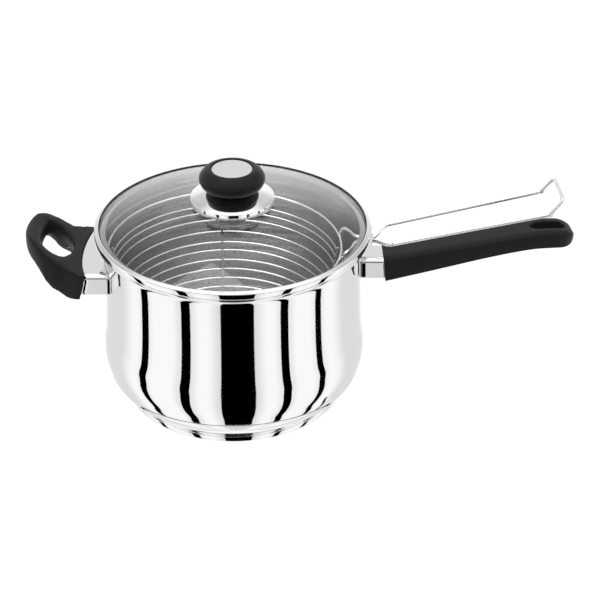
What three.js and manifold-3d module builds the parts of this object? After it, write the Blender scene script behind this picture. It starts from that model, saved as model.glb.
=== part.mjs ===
// Stainless chip pan with a glass lid, a lift-out wire basket and two black moulded handles.
// Millimetres, +Z up. The origin is the centre of the base's underside, and the long handle points along +X.
import * as THREE from 'three';
import { mergeVertices } from 'three/addons/utils/BufferGeometryUtils.js';
import Module from 'manifold-3d';

const wasm = await Module();
wasm.setup();

// ---------------------------------------------------------------- driving dimensions
const gap = 0.3; // clearance between neighbouring pieces
const around = 36; // sides of a turned piece
const sheet = 1.0; // pressed steel of the ferrules

// The pan's outside just under its rim. The lid, basket, base and handles all follow it.
const panRadius = 97.6;
const base = { radius: panRadius - 9.5, height: 6.3, sheet: 0.9, rounding: 1.2 };
const pan = {
  height: 135.7, // top of the pouring rim
  neckRadius: panRadius,
  rimRadius: panRadius + 5.6,
  neckDrop: 7.5, // from the rim's top down to the neck
  bellyRadius: panRadius + 5.3,
  bellyHeight: 39,
  footRadius: panRadius - 18.6,
  wall: 1.0,
};
const notch = { halfWidth: 5.6, depth: 14.2, lipReach: 2.2, lipWall: 1.0 };
const lid = {
  radius: pan.rimRadius + 0.8, // outside of the steel band
  bandSheet: 0.5,
  bandLap: 3.2, // how far the band laps over the glass
  flangeGap: 1.0, // between the locating flange and the neck's inside
  flangeDrop: 4.6,
  glass: 2.8,
  dome: 20.2,
  hole: 3.2,
};
const knob = {
  radius: 24.6,
  height: 17.4, // from the skirt's top to the knob's top
  neckRadius: 19.3,
  footRadius: 15.6,
  discRadius: 15.1,
  discThickness: 1.2,
  discRecess: 0.6, // how far the disc lies below the knob's lip
  skirtRadius: 31.4,
  skirtHeight: 9.7,
  skirtBand: 4.8, // upright edge of the skirt
  skirtSheet: 0.9,
  boltRadius: 2.5,
  boltHead: 4.6,
  washerRadius: 9,
};
const handleDrop = 29; // from the rim's top down to the handles' centre line
const ferrule = {
  reach: panRadius + 17.4,
  height: 17.6,
  longWidth: 26.4,
  helperWidth: 75,
  corner: 3.4,
  flare: 4.6, // how much farther the wide ferrule reaches at its foot
};
const longGrip = { length: 143.6, halfWidth: 13.4, holeLength: 27, holeWidth: 10.4 };
const helperGrip = {
  reach: ferrule.reach + 41.6,
  outerBar: 13,
  edge: 3.4,
  rootWall: 7, // from the ferrule to the finger hole, at the top
  holeWall: 11.5, // height of the finger hole's wall
  holeHalf: 20.6,
  holeLean: 5.5, // how far the root wall leans out at its foot
};
const basket = {
  rimRadius: panRadius - 9.2,
  rimDrop: 15.5, // from the pan's rim down to the basket's rim wire
  shift: -6.2, // the basket hangs a little towards the helper handle
  taper: 0.16, // radius lost for each millimetre of depth
  floorHeight: 20,
  rimWire: 1.25,
  ringWire: 0.8,
  ribWire: 0.9,
  handleWire: 1.4,
  ringOpening: 8, // degrees each side of the handle where the rings stay open
  ribShift: -5.2, // the cross rib stands a little off the basket's centre
  ribBend: 13,
};
// Depth of each ring wire under the basket's rim wire, as shares of the basket's whole depth.
const ringShares = [0.112, 0.167, 0.232, 0.331, 0.423, 0.493, 0.577, 0.657, 0.736, 0.816, 0.896];
const ringDepths = ringShares.map((share) => share * (pan.height - basket.rimDrop - basket.floorHeight));
const basketHandle = {
  rootHalf: 18.9,
  pinchHalf: 2.5,
  armHalf: 15.6,
  endHalf: 18.5,
  rise: 0.234,
  endX: ferrule.reach - 0.8 + longGrip.length - 15.8, // it stops short of the long grip's end
};

// ---------------------------------------------------------------- materials
const finish = (color, roughness, metalness) => new THREE.MeshStandardMaterial({ color, roughness, metalness });
const polishedSteel = () => finish('#d9dadb', 0.12, 1);
const wireSteel = () => finish('#cfd1d3', 0.2, 1);
const aluminium = () => finish('#b9bcc0', 0.45, 1);
const phenolic = () => finish('#262627', 0.5, 0);
const silicone = () => finish('#dcdcd8', 0.6, 0);
const clearGlass = () => {
  const glass = finish('#dfe6e4', 0.05, 0);
  glass.transparent = true;
  glass.opacity = 0.35;
  return glass;
};

// ---------------------------------------------------------------- shape helpers
const rz = (r, z) => new THREE.Vector2(r, z);

function solid(geometry) {
  const bare = geometry.index ? geometry.toNonIndexed() : geometry.clone();
  bare.deleteAttribute('normal');
  bare.deleteAttribute('uv');
  const merged = mergeVertices(bare, 1e-4);
  const vertProperties = merged.attributes.position.array;
  const triVerts = new Uint32Array(merged.index.array);
  return new wasm.Manifold(new wasm.Mesh({ numProp: 3, vertProperties, triVerts }));
}

function geometryOf(manifold) {
  const mesh = manifold.getMesh();
  const geometry = new THREE.BufferGeometry();
  geometry.setAttribute('position', new THREE.BufferAttribute(mesh.vertProperties, 3));
  geometry.setIndex(new THREE.BufferAttribute(mesh.triVerts, 1));
  geometry.computeVertexNormals();
  return geometry;
}

// A profile of (radius, height) points turned about the Z axis, drawn counter-clockwise.
function turned(profile, sides = around) {
  return new THREE.LatheGeometry(profile, sides).rotateX(Math.PI / 2);
}

function smooth(points, count) {
  return new THREE.SplineCurve(points).getPoints(count);
}

function cuboid(x0, x1, y0, y1, z0, z1) {
  const box = new THREE.BoxGeometry(x1 - x0, y1 - y0, z1 - z0);
  return box.translate((x0 + x1) / 2, (y0 + y1) / 2, (z0 + z1) / 2);
}

function upright(radius, x, y, z0, z1, sides = 16) {
  const rod = new THREE.CylinderGeometry(radius, radius, z1 - z0, sides).rotateX(Math.PI / 2);
  return rod.translate(x, y, (z0 + z1) / 2);
}

function circleShape(radius, sides) {
  const shape = new THREE.Shape();
  for (let i = 0; i < sides; i++) {
    const a = (2 * Math.PI * i) / sides;
    if (i) shape.lineTo(radius * Math.cos(a), radius * Math.sin(a));
    else shape.moveTo(radius * Math.cos(a), radius * Math.sin(a));
  }
  return shape;
}

function wire(curve, radius, steps, sides = 6) {
  return new THREE.ExtrudeGeometry(circleShape(radius, sides), { steps, extrudePath: curve });
}

class ArcCurve extends THREE.Curve {
  constructor(radius, x, z, from, to) {
    super();
    Object.assign(this, { radius, x, z, from, to });
  }

  getPoint(t, target = new THREE.Vector3()) {
    const a = THREE.MathUtils.degToRad(this.from + (this.to - this.from) * t);
    return target.set(this.x + this.radius * Math.cos(a), this.radius * Math.sin(a), this.z);
  }
}

// A rounded rectangle centred on the origin.
function roundedRectangle(width, height, r, target = new THREE.Shape()) {
  const w = width / 2;
  const h = height / 2;
  target.moveTo(-w + r, -h);
  target.lineTo(w - r, -h);
  target.absarc(w - r, -h + r, r, -Math.PI / 2, 0);
  target.lineTo(w, h - r);
  target.absarc(w - r, h - r, r, 0, Math.PI / 2);
  target.lineTo(-w + r, h);
  target.absarc(-w + r, h - r, r, Math.PI / 2, Math.PI);
  target.lineTo(-w, -h + r);
  target.absarc(-w + r, -h + r, r, Math.PI, 1.5 * Math.PI);
  return target;
}

// Moves every vertex of a geometry to where place(vector) puts it.
function moulded(geometry, place) {
  const position = geometry.attributes.position;
  const v = new THREE.Vector3();
  for (let i = 0; i < position.count; i++) {
    place(v.fromBufferAttribute(position, i));
    position.setXYZ(i, v.x, v.y, v.z);
  }
  return geometry;
}

// The height of a side-view line at distance x, between its sampled points.
function heightAt(line, x) {
  let i = 1;
  while (i < line.length - 1 && line[i].x < x) i++;
  const a = line[i - 1];
  const b = line[i];
  const t = THREE.MathUtils.clamp((x - a.x) / (b.x - a.x), 0, 1);
  return a.y + (b.y - a.y) * t;
}

const object = new THREE.Group();

function add(name, geometry, material, group = object) {
  const mesh = new THREE.Mesh(geometry, material);
  mesh.name = name;
  group.add(mesh);
  return mesh;
}

// ---------------------------------------------------------------- pan body
const panFloor = base.height + gap;
const neckHeight = pan.height - pan.neckDrop;

// Side view of the wall's outside, from the foot up to the neck: a round belly under a nearly straight wall.
const wallLine = smooth([
  rz(pan.footRadius, panFloor),
  rz(pan.footRadius + 7, panFloor + 0.9),
  rz(pan.bellyRadius - 10.6, panFloor + 4.2),
  rz(pan.bellyRadius - 3.2, panFloor + 13.3),
  rz(pan.bellyRadius - 0.7, pan.bellyHeight - 9),
  rz(pan.bellyRadius, pan.bellyHeight),
  rz(pan.bellyRadius - 0.8, pan.bellyHeight + 11),
  rz(pan.neckRadius + 3.1, pan.bellyHeight + 22),
  rz(pan.neckRadius + 1.9, pan.bellyHeight + 40),
  rz(pan.neckRadius + 0.9, pan.bellyHeight + 64),
  rz(pan.neckRadius, neckHeight),
], 13);
const rimLine = [
  rz(pan.neckRadius + 0.7, pan.height - 4.6),
  rz(pan.neckRadius + 2.6, pan.height - 2.3),
  rz(pan.rimRadius, pan.height - 1.1),
  rz(pan.rimRadius, pan.height - 0.1),
];

const inwards = (points, distance) => points.map((p) => rz(p.x - distance, p.y + (p.y < pan.bellyHeight
  ? distance * (1 - (p.y - panFloor) / (pan.bellyHeight - panFloor)) : 0)));

// The solid inside the wall's outside surface, grown by a distance: it shapes what fits against the wall.
function wallSolid(grow) {
  const skin = wallLine.map((p) => rz(p.x + grow, p.y));
  return solid(turned([rz(0, panFloor), ...skin, rz(pan.neckRadius + grow, pan.height), rz(0, pan.height)]));
}

function panBody() {
  const inside = inwards(wallLine, pan.wall);
  const lip = [
    rz(pan.rimRadius - 0.8, pan.height),
    rz(pan.neckRadius + 1.6, pan.height - 0.9),
    rz(pan.neckRadius - 0.3, pan.height - 3.4),
  ];
  const shell = solid(turned([
    rz(0, panFloor), ...wallLine, ...rimLine, ...lip, ...inside.reverse(), rz(0, panFloor + pan.wall),
  ]));
  const reach = pan.neckRadius + notch.lipReach + 6;
  const bottom = pan.height - notch.depth;
  const channelAt = (half, low, from, to) => {
    const round = new THREE.CylinderGeometry(half, half, to - from, 16).rotateZ(Math.PI / 2);
    const low2 = solid(round.translate((from + to) / 2, 0, low + half));
    return low2.add(solid(cuboid(from, to, -half, half, low + half, pan.height + 2)));
  };
  const cut = channelAt(notch.halfWidth, bottom, pan.neckRadius - 6, reach + 4);
  const outer = channelAt(notch.halfWidth + notch.lipWall, bottom - notch.lipWall, pan.neckRadius - 4, reach);
  const lipTop = pan.height - 0.9;
  const trimmed = outer.subtract(solid(cuboid(0, reach + 4, -20, 20, lipTop, pan.height + 4)));
  const channel = trimmed.subtract(wallSolid(-pan.wall / 2)).subtract(cut);
  return geometryOf(shell.subtract(cut).add(channel));
}
add('pan_body', panBody(), polishedSteel());

// ---------------------------------------------------------------- sandwich base
const capInner = base.radius - base.sheet;
add('base_cap', turned([
  rz(0, 0),
  rz(base.radius - base.rounding, 0),
  rz(base.radius, base.rounding),
  rz(base.radius, base.height - base.rounding),
  rz(base.radius - base.rounding, base.height),
  rz(capInner - 0.6, base.height),
  rz(capInner - 0.6, base.sheet),
  rz(0, base.sheet),
]), polishedSteel());
add('base_core', turned([
  rz(0, base.sheet + gap),
  rz(capInner - 0.6 - gap, base.sheet + gap),
  rz(capInner - 0.6 - gap, base.height - 0.8),
  rz(0, base.height - 0.8),
]), aluminium());

// ---------------------------------------------------------------- lid
const bandBottom = pan.height + gap;
const glassEdge = lid.radius - lid.bandSheet - gap;
const glassLow = bandBottom + lid.bandSheet + gap;
const glassTopHeight = glassLow + lid.glass;
const bandTop = glassTopHeight + gap + lid.bandSheet;
const domeAt = (r) => lid.dome * (1 - (r / glassEdge) ** 2);

function glassProfile() {
  const radii = [glassEdge, 90, 74, 56, 36, 18, lid.hole];
  const top = radii.map((r) => rz(r, glassTopHeight + domeAt(r)));
  const under = radii.map((r) => rz(r, glassLow + domeAt(r))).reverse();
  return [...under, ...top, under[0].clone()];
}
add('lid_glass', turned(glassProfile()), clearGlass());

function bandProfile() {
  const flange = pan.neckRadius - pan.wall - lid.flangeGap;
  const lap = lid.radius - lid.bandLap;
  const t = lid.bandSheet;
  return [
    rz(flange, bandBottom - lid.flangeDrop),
    rz(flange, bandBottom),
    rz(lid.radius - 0.7, bandBottom),
    rz(lid.radius, bandBottom + 0.7),
    rz(lid.radius, bandTop - 0.7),
    rz(lid.radius - 0.7, bandTop),
    rz(lap, bandTop + domeAt(lap)),
    rz(lap, bandTop + domeAt(lap) - t),
    rz(glassEdge + gap, glassTopHeight + gap),
    rz(glassEdge + gap, glassLow - gap),
    rz(flange - t, bandBottom + t),
    rz(flange - t, bandBottom - lid.flangeDrop),
    rz(flange, bandBottom - lid.flangeDrop),
  ];
}
add('lid_rim_band', turned(bandProfile()), polishedSteel());

// ---------------------------------------------------------------- knob
const domeTop = glassTopHeight + lid.dome;
const domeUnder = glassLow + lid.dome;
const skirtLow = glassTopHeight + domeAt(knob.skirtRadius) + 0.6;
const skirtTop = skirtLow + knob.skirtHeight;
const boltHole = knob.boltRadius + gap;
add('knob_gasket', turned([
  rz(boltHole + 0.6, domeTop + gap),
  rz(12, domeTop + gap),
  rz(12, skirtTop - knob.skirtSheet - gap),
  rz(boltHole + 0.6, skirtTop - knob.skirtSheet - gap),
  rz(boltHole + 0.6, domeTop + gap),
], 24), silicone());
// The skirt is a shallow dome with an upright edge.
const skirtLine = smooth([
  rz(knob.skirtRadius - 0.5, skirtLow + knob.skirtBand),
  rz(knob.skirtRadius - 2.3, skirtTop - 4),
  rz(knob.skirtRadius - 6.1, skirtTop - 2.6),
  rz(knob.skirtRadius - 10.6, skirtTop - 1),
  rz(knob.footRadius + 0.4, skirtTop),
], 7);
const skirtInside = skirtLine.map((p) => rz(p.x - 0.35, p.y - knob.skirtSheet)).reverse();
add('knob_skirt', turned([
  rz(knob.skirtRadius, skirtLow),
  rz(knob.skirtRadius, skirtLow + knob.skirtBand - 0.7),
  ...skirtLine,
  rz(boltHole, skirtTop),
  rz(boltHole, skirtTop - knob.skirtSheet),
  ...skirtInside,
  rz(knob.skirtRadius - knob.skirtSheet, skirtLow + knob.skirtBand - 1.4),
  rz(knob.skirtRadius - knob.skirtSheet, skirtLow),
  rz(knob.skirtRadius, skirtLow),
], 36), polishedSteel());

const knobFoot = skirtTop + gap;
const knobTop = knobFoot + knob.height;
const boltTop = knobTop - 9;
const discTop = knobTop - knob.discRecess;
const discLow = discTop - knob.discThickness;
const knobOutline = smooth([
  rz(knob.neckRadius + 0.8, knobFoot + 2.3),
  rz(knob.radius - 1.7, knobFoot + 4.6),
  rz(knob.radius, knobTop - 8.2),
  rz(knob.radius - 1.1, knobTop - 4.7),
  rz(knob.radius - 4.2, knobTop - 1.4),
  rz(knob.discRadius + 1.8, knobTop),
], 10);
add('knob_body', turned([
  rz(boltHole, knobFoot),
  rz(knob.footRadius, knobFoot),
  rz(knob.neckRadius, knobFoot + 2),
  ...knobOutline,
  rz(knob.discRadius + gap, knobTop - 0.5),
  rz(knob.discRadius + gap, discLow - gap),
  rz(0, discLow - gap),
  rz(0, boltTop + gap),
  rz(boltHole, boltTop + gap),
  rz(boltHole, knobFoot),
], 32), phenolic());
add('knob_top_disc', turned([
  rz(0, discLow),
  rz(knob.discRadius, discLow),
  rz(knob.discRadius, discTop - 0.5),
  rz(knob.discRadius - 0.6, discTop),
  rz(0, discTop),
], 32), polishedSteel());

const sealHigh = domeUnder - 0.2 - gap;
const sealLow = sealHigh - 1.4;
const washerHigh = sealLow - gap;
const washerLow = washerHigh - 1;
const ringProfile = (inner, outer, low, high) => [
  rz(inner, low), rz(outer, low), rz(outer, high), rz(inner, high), rz(inner, low),
];
add('knob_seal', turned(ringProfile(boltHole, knob.washerRadius - 1, sealLow, sealHigh), 20), silicone());
add('knob_washer', turned(ringProfile(boltHole, knob.washerRadius, washerLow, washerHigh), 20), polishedSteel());
add('knob_bolt', turned([
  rz(0, washerLow - gap - 2.6),
  rz(knob.boltHead - 1.2, washerLow - gap - 2.6),
  rz(knob.boltHead, washerLow - gap - 1.2),
  rz(knob.boltHead, washerLow - gap),
  rz(knob.boltRadius, washerLow - gap),
  rz(knob.boltRadius, boltTop),
  rz(0, boltTop),
], 12), polishedSteel());

// ---------------------------------------------------------------- handles, drawn along +X
const handleHeight = pan.height - handleDrop;
const ferruleTop = handleHeight + ferrule.height / 2;
const ferruleLow = handleHeight - ferrule.height / 2;
const tongue = { halfWidth: 7, thickness: 4, length: 23 };
const screw = { radius: 2.1, head: 3.9, headHeight: 2.2 };

// A flanged bracket, welded to the wall inside the ferrule, with tongues that enter the grip.
function bracket(halfWidth, tongueCentres, tongueHalf, reach, screwX) {
  const high = ferruleTop - sheet - gap - 0.4;
  const low = ferruleLow + sheet + gap + 0.4;
  const plate = solid(cuboid(pan.neckRadius - 30, pan.neckRadius + 12, -halfWidth, halfWidth, low, high));
  let body = plate.intersect(wallSolid(2.3));
  for (const y of tongueCentres) {
    const z0 = handleHeight - tongue.thickness / 2;
    const arm = cuboid(pan.neckRadius - 12, reach, y - tongueHalf, y + tongueHalf, z0, z0 + tongue.thickness);
    body = body.add(solid(arm));
  }
  for (const y of tongueCentres) {
    body = body.subtract(solid(upright(screw.radius + gap, screwX, y, 60, 160, 12)));
  }
  return body.subtract(wallSolid(gap));
}

// The room a bracket's tongue and its screw need inside a grip.
function tongueRoom(y, half, reach, screwX, gripLow) {
  const z0 = handleHeight - tongue.thickness / 2 - gap;
  const slot = cuboid(80, reach + gap, y - half - gap, y + half + gap, z0, z0 + tongue.thickness + 2 * gap);
  const shank = upright(screw.radius + gap, screwX, y, 60, handleHeight + 6 + gap, 12);
  const recess = upright(screw.head + gap, screwX, y, 60, gripLow + screw.headHeight + 1.4, 16);
  return solid(slot).add(solid(shank)).add(solid(recess));
}

function handleScrew(x, y, gripLow) {
  const headLow = gripLow + 1.4 - gap;
  const head = solid(upright(screw.head, x, y, headLow, headLow + screw.headHeight, 16));
  return head.add(solid(upright(screw.radius, x, y, headLow + 0.5, handleHeight + 6, 12)));
}

// A sleeve of pressed steel around the bracket. Its outer end leans by lean over its height.
function sleeve(width, endAt) {
  const shape = roundedRectangle(width, ferrule.height, ferrule.corner);
  shape.holes.push(roundedRectangle(width - 2 * sheet, ferrule.height - 2 * sheet, ferrule.corner - sheet, new THREE.Path()));
  const tube = new THREE.ExtrudeGeometry(shape, { depth: 1, bevelEnabled: false, curveSegments: 3 });
  return solid(moulded(tube, (v) => {
    const y = v.x;
    const z = handleHeight + v.y;
    v.set(70 + (endAt(z) - 70) * v.z, y, z);
  }));
}

// ---- long handle
const longHandle = new THREE.Group();
object.add(longHandle);
const rootLean = (z) => ferrule.reach - 0.8 + (ferruleTop - z) * 0.11;
const longScrewX = ferrule.reach + 13;
const longTongueEnd = ferrule.reach + tongue.length;

add('long_handle_ferrule', geometryOf(sleeve(ferrule.longWidth, (z) => rootLean(z) - gap).subtract(wallSolid(gap))),
  polishedSteel(), longHandle);
add('long_handle_bracket', geometryOf(bracket(ferrule.longWidth / 2 - sheet - 1, [0], tongue.halfWidth,
  longTongueEnd, longScrewX)), polishedSteel(), longHandle);

const gripStart = rootLean(ferruleTop);
const gripEnd = gripStart + longGrip.length;
const along = (share) => gripStart + longGrip.length * share;
// Side view of the grip: it climbs from the ferrule, thins, and levels out at its end.
const gripTop = new THREE.SplineCurve([
  rz(gripStart, ferruleTop + 0.2), rz(along(0.26), ferruleTop + 7.4), rz(along(0.54), ferruleTop + 15.2),
  rz(along(0.77), ferruleTop + 21.8), rz(along(0.9), ferruleTop + 23.2), rz(along(0.97), ferruleTop + 21),
  rz(gripEnd, ferruleTop + 16.4),
]);
const gripUnder = new THREE.SplineCurve([
  rz(rootLean(ferruleLow - 2.4), ferruleLow - 2.4), rz(along(0.26), ferruleLow + 7.1),
  rz(along(0.55), ferruleLow + 18.6), rz(along(0.76), ferruleLow + 25.4), rz(along(0.89), ferruleLow + 27.1),
  rz(along(0.965), ferruleLow + 27.8), rz(gripEnd - 0.4, ferruleLow + 31.2),
]);

function longGripSolid() {
  const section = roundedRectangle(2, 2, 0.42);
  const steps = 18;
  const bar = new THREE.ExtrudeGeometry(section, { depth: 1, steps, bevelEnabled: false, curveSegments: 2 });
  const a = new THREE.Vector2();
  const b = new THREE.Vector2();
  moulded(bar, (v) => {
    gripTop.getPoint(v.z, a);
    gripUnder.getPoint(v.z, b);
    const share = (v.y + 1) / 2;
    const x = b.x + (a.x - b.x) * share;
    const z = b.y + (a.y - b.y) * share;
    const tip = THREE.MathUtils.clamp((x - (gripEnd - longGrip.halfWidth)) / longGrip.halfWidth, 0, 0.97);
    v.set(x, v.x * longGrip.halfWidth * Math.sqrt(1 - tip * tip), z);
  });
  return solid(bar);
}

function hangingHole() {
  const x1 = gripEnd - 7.6;
  const x0 = x1 - longGrip.holeLength;
  const slot = roundedRectangle(longGrip.holeLength, longGrip.holeWidth, longGrip.holeWidth / 2 - 0.05);
  const prism = new THREE.ExtrudeGeometry(slot, { depth: 60, bevelEnabled: false, curveSegments: 4 });
  return solid(prism.translate((x0 + x1) / 2, 0, ferruleTop - 10));
}

const longGripLow = ferruleLow + 0.6;
add('long_handle_grip', geometryOf(longGripSolid().subtract(hangingHole())
  .subtract(tongueRoom(0, tongue.halfWidth, longTongueEnd, longScrewX, longGripLow))), phenolic(), longHandle);
add('long_handle_screw', geometryOf(handleScrew(longScrewX, 0, longGripLow)), polishedSteel(), longHandle);

// ---- helper handle, drawn along +X and turned to face -X
const helperHandle = new THREE.Group();
helperHandle.rotation.z = Math.PI;
object.add(helperHandle);
const helperTongueY = 28;
const helperTongueHalf = 4;
const helperScrewX = ferrule.reach + 10;
const helperTongueEnd = ferrule.reach + 15;
// The wide ferrule ends on a cone around the pan's axis, a little farther out at its foot than at its top.
const coneOver = (grow) => solid(turned([
  rz(0, ferruleLow - 20),
  rz(ferrule.reach + grow + ferrule.flare * (1 + 20 / ferrule.height), ferruleLow - 20),
  rz(ferrule.reach + grow - ferrule.flare * (20 / ferrule.height), ferruleTop + 20),
  rz(0, ferruleTop + 20),
], 60));
const ferruleEdge = coneOver(0);
const gripEdge = coneOver(gap);

add('helper_handle_ferrule', geometryOf(sleeve(ferrule.helperWidth, () => ferrule.reach + 10)
  .intersect(ferruleEdge).subtract(wallSolid(gap))), polishedSteel(), helperHandle);
add('helper_handle_bracket', geometryOf(bracket(ferrule.helperWidth / 2 - sheet - 1,
  [-helperTongueY, helperTongueY], helperTongueHalf, helperTongueEnd, helperScrewX)),
polishedSteel(), helperHandle);

const helperTopLine = smooth([
  rz(ferrule.reach - 11, ferruleTop - 0.6), rz(ferrule.reach, ferruleTop + 1.2), rz(ferrule.reach + 8, ferruleTop + 4.2),
  rz(ferrule.reach + 14, ferruleTop + 7.4), rz(ferrule.reach + 22.5, ferruleTop + 14),
  rz(ferrule.reach + 30, ferruleTop + 20.2), rz(ferrule.reach + 36, ferruleTop + 22.6),
  rz(helperGrip.reach, ferruleTop + 20),
], 30);
const helperUnderLine = smooth([
  rz(ferrule.reach - 11, ferruleLow - 2), rz(ferrule.reach, ferruleLow - 2.4), rz(ferrule.reach + 9, ferruleLow - 2.4),
  rz(ferrule.reach + 17.5, ferruleLow + 1.4), rz(ferrule.reach + 23, ferruleLow + 6),
  rz(ferrule.reach + 27, ferruleLow + 13), rz(ferrule.reach + 33, ferruleLow + 21),
  rz(helperGrip.reach, ferruleLow + 26.5),
], 30);

// Plan of the loop: as wide as the ferrule at the root, with a waist, shoulders and a round outer bar.
function helperPlan() {
  const root = ferrule.helperWidth / 2;
  const side = [
    rz(ferrule.reach - 13, root + 0.4), rz(ferrule.reach - 4, root + 0.1), rz(ferrule.reach + 4, root - 1.6),
    rz(ferrule.reach + 11, root - 3.6), rz(ferrule.reach + 18, root - 4.4), rz(ferrule.reach + 25, root - 6.6),
    rz(helperGrip.reach - 8.4, root - 13.6), rz(helperGrip.reach - 3.6, root - 20.6),
    rz(helperGrip.reach - 1, root - 29),
  ];
  const far = side.map((p) => rz(p.x, -p.y)).reverse();
  const outline = new THREE.SplineCurve([...far.reverse(), rz(helperGrip.reach, 0), ...side.reverse()]);
  const shape = new THREE.Shape(outline.getPoints(34));
  const inner = helperGrip.reach - helperGrip.outerBar;
  const half = helperGrip.holeHalf;
  const holeSide = [
    rz(ferrule.reach + helperGrip.rootWall, 0), rz(ferrule.reach + 8.2, 6), rz(ferrule.reach + 10.8, 12.6),
    rz(ferrule.reach + 15.4, 18.4), rz(ferrule.reach + 21, half), rz(inner - 2.4, half - 2), rz(inner, half - 8),
  ];
  const mirrored = holeSide.slice(1).map((p) => rz(p.x, -p.y)).reverse();
  const holeCurve = new THREE.SplineCurve([...holeSide, ...mirrored, holeSide[0].clone()]);
  shape.holes.push(new THREE.Path(holeCurve.getPoints(24)));
  return shape;
}

function helperGripSolid() {
  const edge = helperGrip.edge;
  const rise = 0.18;
  const slab = new THREE.ExtrudeGeometry(helperPlan(), {
    depth: 1 - 2 * rise, bevelThickness: rise, bevelSize: edge, bevelOffset: -edge, bevelSegments: 2,
  });
  const holeRoot = ferrule.reach + helperGrip.rootWall;
  const holeMiddle = (holeRoot + helperGrip.reach - helperGrip.outerBar) / 2;
  const holeReach = holeMiddle - holeRoot;
  return solid(slab).refineToLength(5).warp((v) => {
    const high = heightAt(helperTopLine, v[0]);
    // 1 at the hole's rounded-square edge, and more outside it.
    const fromHole = (((v[0] - holeMiddle) / holeReach) ** 4 + (v[1] / helperGrip.holeHalf) ** 4) ** 0.25;
    const skirted = Math.max((fromHole - 1) / 0.35, (ferrule.reach + 4 - v[0]) / 3);
    const thin = high - helperGrip.holeWall;
    const full = Math.min(heightAt(helperUnderLine, v[0]), thin);
    const low = thin + (full - thin) * THREE.MathUtils.clamp(skirted, 0, 1);
    const depth = 1 - (v[2] + rise);
    v[2] = high - (high - low) * depth;
    v[0] += helperGrip.holeLean * depth * THREE.MathUtils.clamp((holeMiddle - v[0]) / holeReach, 0, 1);
  });
}

const helperGripLow = ferruleLow - 2.2;
let helperGripBody = helperGripSolid().subtract(gripEdge);
for (const y of [-helperTongueY, helperTongueY]) {
  helperGripBody = helperGripBody.subtract(
    tongueRoom(y, helperTongueHalf, helperTongueEnd, helperScrewX, helperGripLow));
}
add('helper_handle_grip', geometryOf(helperGripBody), phenolic(), helperHandle);
add('helper_handle_screw_left', geometryOf(handleScrew(helperScrewX, -helperTongueY, helperGripLow)),
  polishedSteel(), helperHandle);
add('helper_handle_screw_right', geometryOf(handleScrew(helperScrewX, helperTongueY, helperGripLow)),
  polishedSteel(), helperHandle);

// ---------------------------------------------------------------- wire basket
const basketRim = pan.height - basket.rimDrop;
const basketRadius = (z) => basket.rimRadius - basket.taper * (basketRim - z);
const rimRing = new THREE.TorusGeometry(basket.rimRadius, basket.rimWire, 6, 40);
add('basket_rim_wire', rimRing.translate(basket.shift, 0, basketRim), wireSteel());

ringDepths.forEach((depth, i) => {
  const z = basketRim - depth;
  const arc = new ArcCurve(basketRadius(z), basket.shift, z, basket.ringOpening, 360 - basket.ringOpening);
  add('basket_ring_' + String(i + 1).padStart(2, '0'), wire(arc, basket.ringWire, 24, 5), wireSteel());
});

// A rib runs down inside the rings, across the floor and up the other side.
function ribGeometry(floorHeight, from, to, topZ, place) {
  const inset = basket.ringWire + basket.ribWire + 2 * gap;
  const reachAt = (z, limit) => limit - basket.taper * (basketRim - z) - inset;
  const bend = basket.ribBend;
  const sideLow = floorHeight + bend;
  const half = (limit, sign) => [
    place(sign * reachAt(topZ, limit), topZ),
    place(sign * reachAt((topZ + sideLow) / 2, limit), (topZ + sideLow) / 2),
    place(sign * reachAt(sideLow + bend, limit), sideLow + bend),
    place(sign * reachAt(sideLow + bend * 0.4, limit), sideLow + bend * 0.4),
    place(sign * reachAt(sideLow, limit), sideLow),
    place(sign * (reachAt(sideLow, limit) - bend * 0.3), floorHeight + bend * 0.3),
    place(sign * (reachAt(sideLow, limit) - bend), floorHeight),
  ];
  const points = [...half(from, -1), ...half(to, 1).reverse()];
  return wire(new THREE.CatmullRomCurve3(points, false, 'centripetal'), basket.ribWire, 34, 5);
}
const ribTop = basketRim - basket.rimWire - basket.ribWire - 0.8;
const crossReach = Math.sqrt(basket.rimRadius ** 2 - basket.ribShift ** 2);
const crossPlace = (y, z) => new THREE.Vector3(basket.shift + basket.ribShift, y, z);
const alongPlace = (x, z) => new THREE.Vector3(basket.shift + x, 0, z);
const wireStep = 2 * basket.ribWire + gap;
add('basket_rib_cross', ribGeometry(basket.floorHeight, crossReach, crossReach, ribTop, crossPlace), wireSteel());
add('basket_rib_along', ribGeometry(basket.floorHeight - wireStep, basket.rimRadius, basket.rimRadius, ribTop,
  alongPlace), wireSteel());

// Floor rings lie on the ribs.
// The floor rings lie on the flat part of the ribs, the widest where the ribs start to bend.
const floorReach = basketRadius(basket.floorHeight) - basket.ribBend + 0.6;
[0.367, 0.7, 1].forEach((share, i) => {
  const radius = share * floorReach;
  const z = basket.floorHeight + basket.ribWire + basket.ringWire + gap;
  const ring = new THREE.TorusGeometry(radius, basket.ringWire, 5, 20);
  add('basket_floor_ring_' + (i + 1), ring.translate(basket.shift, 0, z), wireSteel());
});

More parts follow.
